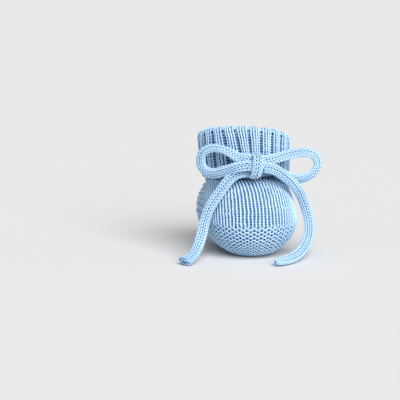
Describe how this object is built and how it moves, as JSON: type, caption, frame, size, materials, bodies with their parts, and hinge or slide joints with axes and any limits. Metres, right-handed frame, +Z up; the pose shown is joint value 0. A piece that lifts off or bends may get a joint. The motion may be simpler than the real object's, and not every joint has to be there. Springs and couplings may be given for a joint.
{
  "type": "baby bootie",
  "caption": "Soft knitted baby bootie with a garter-stitch foot, plain-knit instep, ribbed turned-down cuff, and a knitted cord tied in a bow at the ankle.",
  "frame": {"origin": "on the floor, under the middle of the foot's length and width", "axes": "-Y to the toe, +Y to the heel, +X across the foot to the right seen from the front, +Z up"},
  "size_m": [0.0951, 0.1026, 0.0834],
  "materials": {
    "garter_knit": "cotton yarn in garter stitch, matt with a soft sheen",
    "plain_knit": "cotton yarn in plain knit, matt with a soft sheen",
    "rib_knit": "cotton yarn in rib stitch, matt with a soft sheen",
    "cord_knit": "narrow knitted cotton cord, matt with a soft sheen",
    "seam_yarn": "sewing yarn of the same cotton"
  },
  "bodies": {
    "root": {"foot_band": "garter_knit", "instep_panel": "plain_knit", "sole_seam": "seam_yarn", "back_seam": "seam_yarn", "ankle_band": "rib_knit", "cuff_lining": "rib_knit", "cuff_turn_down": "rib_knit", "tie_ankle_run": "cord_knit", "bow_knot": "cord_knit", "bow_loop_left": "cord_knit", "bow_loop_right": "cord_knit", "tie_tail_left": "cord_knit", "tie_tail_right": "cord_knit"}
  },
  "joints": []
}
